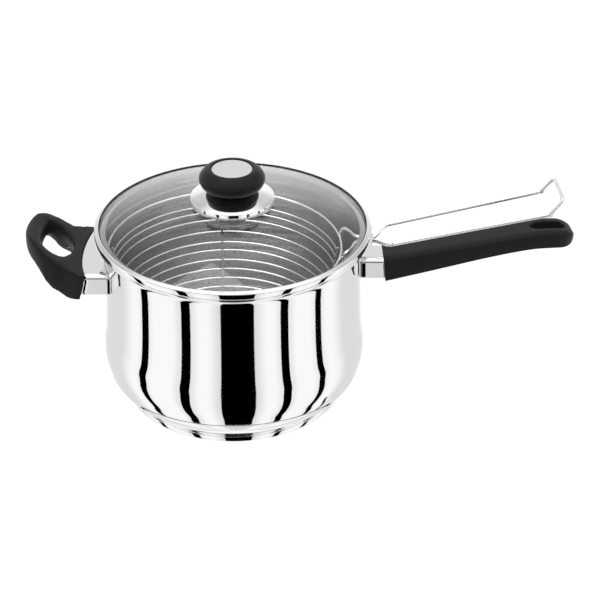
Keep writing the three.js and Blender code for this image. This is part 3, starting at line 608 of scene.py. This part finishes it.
top_line = smooth_line([
    (grip_start, FERRULE_TOP + 0.2), (along(0.26), FERRULE_TOP + 7.4), (along(0.54), FERRULE_TOP + 15.2),
    (along(0.77), FERRULE_TOP + 21.8), (along(0.9), FERRULE_TOP + 23.2), (along(0.97), FERRULE_TOP + 21),
    (along(1), FERRULE_TOP + 16.4)], 12)
under_line = smooth_line([
    (lean(FERRULE_LOW - 2.4), FERRULE_LOW - 2.4), (along(0.26), FERRULE_LOW + 7.1),
    (along(0.55), FERRULE_LOW + 18.6), (along(0.76), FERRULE_LOW + 25.4), (along(0.89), FERRULE_LOW + 27.1),
    (along(0.965), FERRULE_LOW + 27.8), (along(1) - 0.4, FERRULE_LOW + 31.2)], 12)


def on_line(line, share):
    place = share * (len(line) - 1)
    i = min(int(place), len(line) - 2)
    return line[i].lerp(line[i + 1], place - i)


SLOT_HALF = 5.2
SLOT_LENGTH = 27.0
SLOT_TAPER = 10.0
SLOT_END = grip_high.x - 7.6
SLOT_START = SLOT_END - SLOT_LENGTH


def long_grip():
    """A moulded bar that climbs, thins and rounds off; cut_slot opens the slot to hang it by."""
    half = GRIP_HALF
    corner = 0.42
    slot_share = SLOT_HALF / half
    outline = rounded([
        (-1, -1, corner * 0.6), (1, -1, corner * 0.6), (1, 1, corner), (-1, 1, corner)], steps=7)
    coarse = [i / 40 for i in range(28)]
    stations = coarse + [27 / 40 + (13 / 40) * k / 46 for k in range(1, 47)]
    bm = bmesh.new()
    verts, edges = thread(bm, [(0, p.x, p.y) for p in outline], closed=True)
    flats = [e for e in edges if e.calc_length() > 0.5 * MM and abs(e.verts[0].co.z - e.verts[1].co.z) < 1e-7]
    bmesh.ops.subdivide_edges(bm, edges=flats, cuts=4)
    for vert in bm.verts:
        if abs(vert.co.z) > 0.999 * MM and abs(vert.co.y) < 0.57 * MM and abs(vert.co.y) > 0.3 * MM:
            vert.co.y = math.copysign(slot_share, vert.co.y) * MM
    rows = grow_rows(bm, len(stations) - 1)
    for share, row in zip(stations, rows):
        a, b = on_line(top_line, share), on_line(under_line, share)
        for vert in row:
            across, up = vert.co.y / MM, (vert.co.z / MM + 1) / 2
            place = b.lerp(a, up)
            tip = min(max((place.x - (grip_high.x - half)) / half, 0), 0.985)
            vert.co = Vector((place.x, across * half * math.sqrt(1 - tip * tip), place.y)) * MM
    for row in (rows[0], rows[-1]):
        end = [e for e in bm.edges if e.is_boundary and all(v in row for v in e.verts)]
        bmesh.ops.holes_fill(bm, edges=end, sides=0)
    bmesh.ops.recalc_face_normals(bm, faces=bm.faces)
    return bm


def cut_slot(bm):
    """Opens the hanging slot: both skins are opened over the same cells and joined by a wall."""
    inside = []
    for face in bm.faces:
        centre = face.calc_center_median() / MM
        if abs(centre.y) < SLOT_HALF * 0.9 and SLOT_START < centre.x < SLOT_END and abs(face.normal.z) > 0.6:
            inside.append(face)
    bmesh.ops.delete(bm, geom=inside, context="FACES")
    rim = [e for e in bm.edges if e.is_boundary]
    rim_verts = {v for e in rim for v in e.verts}
    start, end = min(v.co.x for v in rim_verts) / MM, max(v.co.x for v in rim_verts) / MM
    for vert in rim_verts:
        x = vert.co.x / MM
        over = max((start + SLOT_TAPER - x) / SLOT_TAPER, (x - end + SLOT_HALF) / SLOT_HALF, 0)
        limit = SLOT_HALF * math.sqrt(max(1 - over ** 2, 0.004))
        vert.co.y *= limit / SLOT_HALF
    made = bmesh.ops.bridge_loops(bm, edges=rim)
    edges = {e for f in made["faces"] for e in f.edges if e.calc_face_angle(0) > 0.9}
    bmesh.ops.bevel(bm, geom=list(edges), offset=1.1 * MM, segments=4, profile=0.5, affect="EDGES",
                    material=-1)


grip_mesh = long_grip()
cut_slot(grip_mesh)
finished(grip_mesh, "long_grip", handle_phenolic, "pan", ["long_handle_grip"], crease=50)

# ------------------------------------------------------------------ helper grip
LOOP_REACH = -loop_low.x
LOOP_HALF = wide_high.y
loop_top = smooth_line([
    (104, FERRULE_TOP - 0.6), (REACH, FERRULE_TOP + 1.2), (REACH + 8, FERRULE_TOP + 4.2),
    (REACH + 14, FERRULE_TOP + 7.4), (REACH + 22.5, FERRULE_TOP + 14), (REACH + 30, FERRULE_TOP + 20.2),
    (REACH + 36, FERRULE_TOP + 22.6), (LOOP_REACH + 2, FERRULE_TOP + 20)], 8)
loop_under = smooth_line([
    (104, FERRULE_LOW - 2), (REACH, FERRULE_LOW - 2.4), (REACH + 9, FERRULE_LOW - 2.4),
    (REACH + 17.5, FERRULE_LOW + 1.4), (REACH + 23, FERRULE_LOW + 6), (REACH + 27, FERRULE_LOW + 13),
    (REACH + 33, FERRULE_LOW + 21), (LOOP_REACH + 2, FERRULE_LOW + 26.5)], 8)


HOLE_ROOT = REACH + 7
HOLE_INNER = LOOP_REACH - 13
HOLE_HALF = 20.6
HOLE_WALL = 11.5


def helper_grip():
    """A moulded loop: a plate with a finger hole, whose far bar curls up. The underside rises to the
    hole, and the root follows the ferrule's cone."""
    root = LOOP_HALF
    arc_reach = REACH + 0.2
    edge_of_arc = math.asin((root + 0.3) / arc_reach)
    arc = [(arc_reach * math.cos(a), arc_reach * math.sin(a))
           for a in [edge_of_arc * (k / 14 - 1) for k in range(29)]]
    side = [
        (arc[-1][0] + 4, root + 0.1), (REACH + 4, root - 1.6), (REACH + 11, root - 3.6),
        (REACH + 18, root - 4.4), (REACH + 25, root - 6.6), (LOOP_REACH - 8.4, root - 13.6),
        (LOOP_REACH - 3.6, root - 20.6), (LOOP_REACH - 1, root - 29), (LOOP_REACH, 0)]
    near = smooth_line([arc[-1], *side], 6)[1:]
    far = [Vector((p.x, -p.y)) for p in reversed(near)][1:]
    outline = [Vector(p) for p in arc] + near + far
    hole_side = [
        (HOLE_ROOT, 0), (REACH + 8.2, 6), (REACH + 10.8, 12.6), (REACH + 15.4, 18.4), (REACH + 21, HOLE_HALF),
        (HOLE_INNER - 2.4, HOLE_HALF - 2), (HOLE_INNER, HOLE_HALF - 8), (HOLE_INNER + 0.6, 0)]
    hole_near = smooth_line([(hole_side[1][0], -hole_side[1][1]), *hole_side,
                             (hole_side[-2][0], -hole_side[-2][1])], 6)[6:-6]
    hole = hole_near + [Vector((p.x, -p.y)) for p in reversed(hole_near)][1:-1]
    bm = bmesh.new()
    _, outer_edges = thread(bm, [(p.x, p.y, 0) for p in outline], closed=True)
    _, hole_edges = thread(bm, [(p.x, p.y, 0) for p in hole], closed=True)
    made = bmesh.ops.bridge_loops(bm, edges=outer_edges + hole_edges)
    bmesh.ops.subdivide_edges(bm, edges=list(made["edges"]), cuts=7, use_grid_fill=True)
    bmesh.ops.recalc_face_normals(bm, faces=bm.faces)
    top_verts = list(bm.verts)
    grown = bmesh.ops.extrude_face_region(bm, geom=bm.faces[:], use_keep_orig=True)
    low_verts = [g for g in grown["geom"] if isinstance(g, bmesh.types.BMVert)]
    rung = [e for e in bm.edges if (e.verts[0] in top_verts) != (e.verts[1] in top_verts)]
    middle = (HOLE_ROOT + HOLE_INNER) / 2
    span = middle - HOLE_ROOT
    for vert in top_verts + low_verts:
        x, y = vert.co.x / MM, vert.co.y / MM
        high = height_on(loop_top, x)
        thin = high - HOLE_WALL
        full = min(height_on(loop_under, x), thin)
        from_hole = (((x - middle) / span) ** 4 + (y / HOLE_HALF) ** 4) ** 0.25
        skirted = min(max((from_hole - 1) / 0.35, (REACH + 4 - x) / 3, 0), 1)
        deep = 0 if vert in top_verts else high - thin - (full - thin) * skirted
        vert.co.z = (high - deep) * MM
        near_root = max(0, min(1, (REACH + 16 - math.hypot(x, y)) / 15.8))
        flare = (cone(high - deep) - REACH) * near_root
        vert.co.x = math.sqrt((math.hypot(x, y) + flare) ** 2 - y * y) * MM
    bmesh.ops.subdivide_edges(bm, edges=rung, cuts=4)
    bmesh.ops.recalc_face_normals(bm, faces=bm.faces)
    root_verts = {v for v in bm.verts if math.hypot(v.co.x, v.co.y) / MM < cone(v.co.z / MM) + 0.35}
    edges = [e for e in bm.edges if len(e.link_faces) == 2 and not any(v in root_verts for v in e.verts)]
    brim = [e for e in edges if e.calc_face_angle(0) > 0.6]
    bmesh.ops.bevel(bm, geom=brim, offset=4.2 * MM, segments=6, profile=0.5, affect="EDGES", material=-1,
                    clamp_overlap=True)
    bmesh.ops.remove_doubles(bm, verts=bm.verts, dist=0.05 * MM)
    # The smoothing starts a little farther from the root each time, so that it fades in without a step.
    for k in range(10):
        bar = [v for v in bm.verts if v.co.x / MM > cone(v.co.z / MM) + 1.5 + 1.1 * k]
        bmesh.ops.smooth_vert(bm, verts=bar, factor=0.5, use_axis_x=True, use_axis_y=True, use_axis_z=True)
    bmesh.ops.rotate(bm, cent=ORIGIN, matrix=Matrix.Rotation(math.pi, 3, "Z"), verts=bm.verts)
    finished(bm, "helper_grip", handle_phenolic, "pan", ["helper_handle_grip"], crease=42)


helper_grip()

# ------------------------------------------------------------------ frying basket
SHIFT = (rim_low.x + rim_high.x) / 2
BASKET_RIM = (rim_low.z + rim_high.z) / 2
RIM_WIRE = 1.25
RIM_CIRCLE = (rim_high.x - rim_low.x) / 2 - RIM_WIRE
RING_WIRE, RIB_WIRE, BAIL_WIRE = 0.8, 0.9, 1.4
TAPER = 0.16


def circle_run(radius, z, opening=0.0, count=120):
    first = math.radians(opening)
    sweep = TAU - 2 * first
    steps = count if opening else count - 1
    span = steps if opening else count
    turns = [first + sweep * k / span for k in range(steps + 1)]
    return [(SHIFT + radius * math.cos(turn), radius * math.sin(turn), z) for turn in turns]


def basket_radius(z):
    return RIM_CIRCLE - TAPER * (BASKET_RIM - z)


wire_piece("basket_rim", [(circle_run(RIM_CIRCLE, BASKET_RIM), True)], RIM_WIRE, basket_wire, "basket",
           ["basket_rim_wire"], sides=5)
ring_names = [f"basket_ring_{k:02d}" for k in range(1, 12)]
ring_runs = []
for ring in ring_names:
    low, high = corners(ring)
    z = (low.z + high.z) / 2
    ring_runs.append((circle_run(basket_radius(z), z, opening=8), False))
wire_piece("basket_side_rings", ring_runs, RING_WIRE, basket_wire, "basket", ring_names,
           sides=3)

floor_names = [f"basket_floor_ring_{k}" for k in (1, 2, 3)]
floor_runs = []
for ring in floor_names:
    low, high = corners(ring)
    floor_runs.append((circle_run((high.y - low.y) / 2 - RING_WIRE, (low.z + high.z) / 2, count=90), True))
wire_piece("basket_floor_rings", floor_runs, RING_WIRE, basket_wire, "basket", floor_names,
           sides=3)


def rib_run(node_name, place):
    """One bent wire from the rim down, across the floor and up the other side."""
    low, high = corners(node_name)
    floor = low.z + RIB_WIRE
    top = high.z + RIB_WIRE * 0.5
    span = (high - low) / 2
    reach = max(span.x, span.y) - RIB_WIRE
    fall = TAPER * (high.z - floor)
    bend = 13.0
    low_reach = reach - fall + TAPER * bend
    outline = rounded([
        (-reach, top, 0), (-low_reach + 1.2, floor, bend * 0.75), (low_reach - 1.2, floor, bend * 0.75),
        (reach, top, 0)], closed=False, steps=12)
    return [place(p.x, p.y) for p in outline]


cross_low, cross_high = corners("basket_rib_cross")
cross_x = (cross_low.x + cross_high.x) / 2
wire_piece("basket_rib_cross_wire", [(rib_run("basket_rib_cross", lambda y, z: (cross_x, y, z)), False)],
           RIB_WIRE, basket_wire, "basket", ["basket_rib_cross"])
wire_piece("basket_rib_along_wire", [(rib_run("basket_rib_along", lambda x, z: (SHIFT + x, 0, z)), False)],
           RIB_WIRE, basket_wire, "basket", ["basket_rib_along"])

# The handle is one bent wire: outside the rim, through the pan's notch, along the grip's sides, and up.
ROOT_HALF, PINCH_HALF, ARM_HALF, END_HALF = 18.9, 2.5, 15.6, 18.5
ARM_SLOPE = 0.234
rim_x = SHIFT + math.sqrt(RIM_CIRCLE ** 2 - ROOT_HALF ** 2)
out_x = rim_x + RIM_WIRE + BAIL_WIRE + 0.1
notch_x = NECK_RADIUS + 0.6
pass_z = RIM - 10.2
arm_x, arm_z = notch_x + 20.4, pass_z + 4.4
end_x = bail_high.x - BAIL_WIRE
bend_x = end_x - 8.4


def arm_at(x):
    return arm_z + (x - arm_x) * ARM_SLOPE


half_bail = [
    (out_x, ROOT_HALF, BASKET_RIM - 3), (out_x + 0.1, ROOT_HALF, BASKET_RIM + 1.6),
    (out_x + 2.2, ROOT_HALF - 0.6, BASKET_RIM + 4), (out_x + 6, ROOT_HALF - 5.6, pass_z - 0.9),
    (notch_x - 6, PINCH_HALF + 3, pass_z - 0.3), (notch_x - 1, PINCH_HALF, pass_z),
    (notch_x + 7.6, PINCH_HALF, pass_z + 0.5), (notch_x + 12, PINCH_HALF + 4, pass_z + 1.6),
    (arm_x - 4, ARM_HALF - 3, arm_z - 1.2), (arm_x, ARM_HALF, arm_z),
    (arm_x + 6, ARM_HALF + 0.1, arm_at(arm_x + 6)),
    ((arm_x + bend_x) / 2, (ARM_HALF + END_HALF) / 2, arm_at((arm_x + bend_x) / 2)),
    (bend_x - 3, END_HALF, arm_at(bend_x - 3)), (bend_x, END_HALF, arm_at(bend_x) + 0.5),
    (end_x - 1.4, END_HALF - 0.4, arm_at(bend_x) + 9.6), (end_x - 0.2, END_HALF - 3, arm_at(bend_x) + 12),
    (end_x, END_HALF - 8, arm_at(bend_x) + 12.6)]
bail_points = [(x, -y, z) for x, y, z in half_bail] + [(x, y, z) for x, y, z in reversed(half_bail)]
wire_piece("basket_bail", [(smooth_line(bail_points, 6), False)], BAIL_WIRE, basket_wire, "basket",
           ["basket_handle"], sides=6)

# ------------------------------------------------------------------ studio: floor, tent of light, camera
def plain(name, shade, roughness):
    made, tree = new_material(name)
    skin = node(tree, "ShaderNodeBsdfPrincipled", Base_Color=colour(shade), Roughness=roughness,
                Specular_IOR_Level=0.0)
    node(tree, "ShaderNodeOutputMaterial", [("Surface", skin.outputs[0])])
    return made


def stage_sheet(name, build, material):
    bm = bmesh.new()
    build(bm)
    mesh = bpy.data.meshes.new(name)
    bm.to_mesh(mesh)
    bm.free()
    sheet = bpy.data.objects.new(name, mesh)
    bpy.context.scene.collection.objects.link(sheet)
    mesh.materials.append(material)
    return sheet


def light_table(name, shade, glow):
    """A milky sheet lit evenly from below, which hardly shows a shadow."""
    made, tree = new_material(name)
    skin = node(tree, "ShaderNodeBsdfPrincipled", Base_Color=colour(shade), Roughness=0.9,
                Specular_IOR_Level=0.0, Emission_Color=(1, 1, 1, 1), Emission_Strength=glow)
    node(tree, "ShaderNodeOutputMaterial", [("Surface", skin.outputs[0])])
    return made


floor = stage_sheet("floor", lambda bm: bmesh.ops.create_grid(bm, x_segments=1, y_segments=1, size=12),
                    light_table("light table", "#404040", 1.0))
floor.location.z = -0.0002
floor.visible_glossy = False

# Black cards round the tent: azimuth from, azimuth to, foot and top height in mm.
# Only reflections show them.
CARD_RADIUS = 420
BLACK_CARDS = ((-98.7, -73.5, -480, 170), (-129.5, -122.0, -480, 170), (-166.5, -159.4, -480, 170),
               (-52.8, -46.3, -480, 170), (-21.8, -15.8, -480, 170), (-3.5, 0.5, -480, -330),
               (-152, -18, 215, 330), (-180, 180, -530, -490))
black_card = plain("black card", "#000000", 1.0)


def card(bm, first, last, foot, top):
    steps = max(int(abs(last - first) / 3), 4)
    start = Vector((math.cos(math.radians(first)), math.sin(math.radians(first)), 0)) * CARD_RADIUS
    verts, edges = thread(bm, [start + UP * foot, start + UP * top])
    turn_about_axis(bm, verts + edges, math.radians(last - first), steps)


for number, strip in enumerate(BLACK_CARDS, 1):
    flag = stage_sheet(f"black_card_{number}", lambda bm: card(bm, *strip), black_card)
    flag.visible_camera = False
    flag.visible_diffuse = False
    flag.visible_shadow = False
    flag.visible_transmission = False

# The tent is white, a little greyer beside the black cards, at both sides behind the pan and high up there.
# Each shadow is a centre azimuth and half width in degrees, and the share of light it takes.
TENT_LIGHT = 1.1
CROWN_GAIN = 1.5
HIGH_BACK_SHARE = 0.76
MATTE_LIGHT = 0.55
BACKDROP_LIGHT = 1.05
TENT_SHADOWS = ((-86, 27, 0.3), (-131, 13, 0.16), (-44, 11, 0.14), (-10, 10, 0.1), (-172, 10, 0.1),
                (40, 36, 0.26), (140, 36, 0.26))
world = bpy.data.worlds.new("light tent")
bpy.context.scene.world = world
world.use_nodes = True
sky = world.node_tree
sky.nodes.clear()
way = node(sky, "ShaderNodeTexCoord")
parts = node(sky, "ShaderNodeSeparateXYZ", [("Vector", way.outputs["Generated"])])
azimuth = node(sky, "ShaderNodeMath", [(0, parts.outputs["Y"]), (1, parts.outputs["X"])], operation="ARCTAN2")
light = node(sky, "ShaderNodeValue").outputs[0]
light.default_value = TENT_LIGHT
for centre_deg, half_deg, share in TENT_SHADOWS:
    offset = node(sky, "ShaderNodeMath", [(0, azimuth.outputs[0])], operation="SUBTRACT",
                  _1=math.radians(centre_deg))
    wrapped = node(sky, "ShaderNodeMath", [(0, offset.outputs[0])], operation="WRAP", _1=math.pi, _2=-math.pi)
    away = node(sky, "ShaderNodeMath", [(0, wrapped.outputs[0])], operation="ABSOLUTE")
    lit = node(sky, "ShaderNodeMapRange", [("Value", away.outputs[0])], interpolation_type="SMOOTHSTEP",
               From_Min=math.radians(half_deg * 0.4), From_Max=math.radians(half_deg),
               To_Min=1 - share, To_Max=1.0)
    light = node(sky, "ShaderNodeMath", [(0, light), (1, lit.outputs[0])], operation="MULTIPLY").outputs[0]
height = node(sky, "ShaderNodeMapRange", [("Value", parts.outputs["Z"])], From_Min=0.3, From_Max=0.45)
crown = node(sky, "ShaderNodeMapRange", [("Value", parts.outputs["Z"])], From_Min=0.9, From_Max=0.72)
behind = node(sky, "ShaderNodeMapRange", [("Value", parts.outputs["Y"])], From_Min=0.0, From_Max=0.4)
part_roof = node(sky, "ShaderNodeMath", [(0, height.outputs[0]), (1, crown.outputs[0])],
                 operation="MULTIPLY")
shaded = node(sky, "ShaderNodeMath", [(0, part_roof.outputs[0]), (1, behind.outputs[0])],
              operation="MULTIPLY")
back = node(sky, "ShaderNodeMapRange", [("Value", shaded.outputs[0])], To_Min=1.0, To_Max=HIGH_BACK_SHARE)
top = node(sky, "ShaderNodeMapRange", [("Value", parts.outputs["Z"])], From_Min=0.7, From_Max=0.9,
           To_Min=1.0, To_Max=CROWN_GAIN)
roofed = node(sky, "ShaderNodeMath", [(0, light), (1, top.outputs[0])], operation="MULTIPLY")
level = node(sky, "ShaderNodeMath", [(0, roofed.outputs[0]), (1, back.outputs[0])], operation="MULTIPLY")
sight = node(sky, "ShaderNodeLightPath")
matte = node(sky, "ShaderNodeMix", [(0, sight.outputs["Is Diffuse Ray"]), (2, level.outputs[0])],
             _3=MATTE_LIGHT)
seen = node(sky, "ShaderNodeMix", [(0, sight.outputs["Is Camera Ray"]), (2, matte.outputs[0])],
            _3=BACKDROP_LIGHT)
shine = node(sky, "ShaderNodeBackground", [("Strength", seen.outputs[0])], Color=(1, 1, 1, 1))
node(sky, "ShaderNodeOutputWorld", [("Surface", shine.outputs[0])])

TILT = math.radians(32.64)
key = bpy.data.lights.new("softbox", "AREA")
key.shape = "RECTANGLE"
key.size, key.size_y = 1.6, 1.6
key.energy = 22
softbox = bpy.data.objects.new("softbox", key)
softbox.location = (-0.3, -0.25, 1.6)
softbox.visible_glossy = False
softbox.rotation_euler = (softbox.location - Vector((0, 0, 0.1))).to_track_quat("Z", "Y").to_euler()
bpy.context.scene.collection.objects.link(softbox)

camera_data = bpy.data.cameras.new("camera")
camera_data.sensor_width = 36
camera_data.lens = 76.15
camera_data.shift_x = 0.055
camera_data.shift_y = 0.0207
camera = bpy.data.objects.new("camera", camera_data)
camera.location = Vector((25.8, -842.1, 599.3)) * MM
camera.rotation_euler = (math.pi / 2 - TILT, 0, 0)
bpy.context.scene.collection.objects.link(camera)
bpy.context.scene.camera = camera
bpy.context.scene.view_settings.view_transform = "Standard"
